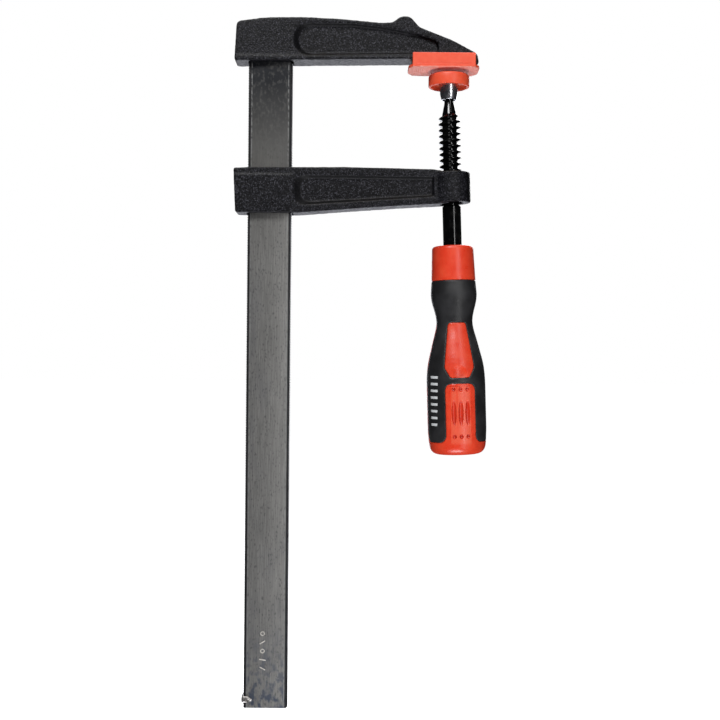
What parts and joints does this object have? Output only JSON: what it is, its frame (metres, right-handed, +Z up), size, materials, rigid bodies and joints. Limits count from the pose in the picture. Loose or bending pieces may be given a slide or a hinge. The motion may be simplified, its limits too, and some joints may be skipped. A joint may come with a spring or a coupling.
{
  "type": "f clamp",
  "caption": "Quick-action F clamp: toothed flat steel rail, cast fixed jaw, cast sliding arm, screw spindle with swivel pad, plastic jaw covers and a two-colour twist handle.",
  "frame": {"origin": "centre of the fixed jaw's clamping face, on the line of the spindle", "axes": "+Z up along the rail, away from the clamping side; +X from the rail towards the spindle and the nose of the jaw; Y across the thickness"},
  "size_m": [0.1258, 0.029, 0.3408],
  "materials": {
    "rail_steel": "bright drawn steel, lengthwise brushed, dark mill stains",
    "coated_iron": "sand-cast texture under satin black powder coat",
    "cover_plastic": "soft semi-gloss moulded plastic",
    "black_oxide_steel": "glossy oiled black oxide",
    "pad_metal": "bright zinc plating",
    "handle_plastic": "semi-gloss moulded plastic",
    "grip_rubber": "satin soft-touch rubber"
  },
  "bodies": {
    "frame": {"rail": "rail_steel", "fixed_jaw": "coated_iron", "jaw_cap": "cover_plastic"},
    "arm": {"sliding_arm": "coated_iron"},
    "ball": {"ball_tip": "pad_metal"},
    "screw": {"spindle": "black_oxide_steel", "handle_core": "handle_plastic", "handle_grip": "grip_rubber"},
    "pad": {"swivel_pad": "pad_metal", "pad_cap": "cover_plastic"}
  },
  "joints": [
    {"name": "arm_slide", "type": "slide", "parent": "frame", "child": "arm", "axis": [0, 0, -1], "range_m": [0, 0.2375]},
    {"name": "spindle_feed", "type": "slide", "parent": "arm", "child": "ball", "axis": [0.0332, 0, -0.9995], "range_m": [0, 0.0345]},
    {"name": "spindle_turn", "type": "hinge", "parent": "ball", "child": "screw", "pos_m": [0, 0, -0.0109], "axis": [0.0332, 0, -0.9995], "range_deg": [0, 4140]},
    {"name": "pad_tilt", "type": "hinge", "parent": "ball", "child": "pad", "pos_m": [0, 0, -0.0109], "axis": [0, 1, 0], "range_deg": [-10, 10]}
  ],
  "couplings": [
    {"joint": "spindle_feed", "follows": "spindle_turn", "m_per_rad": 0.00047746}
  ]
}
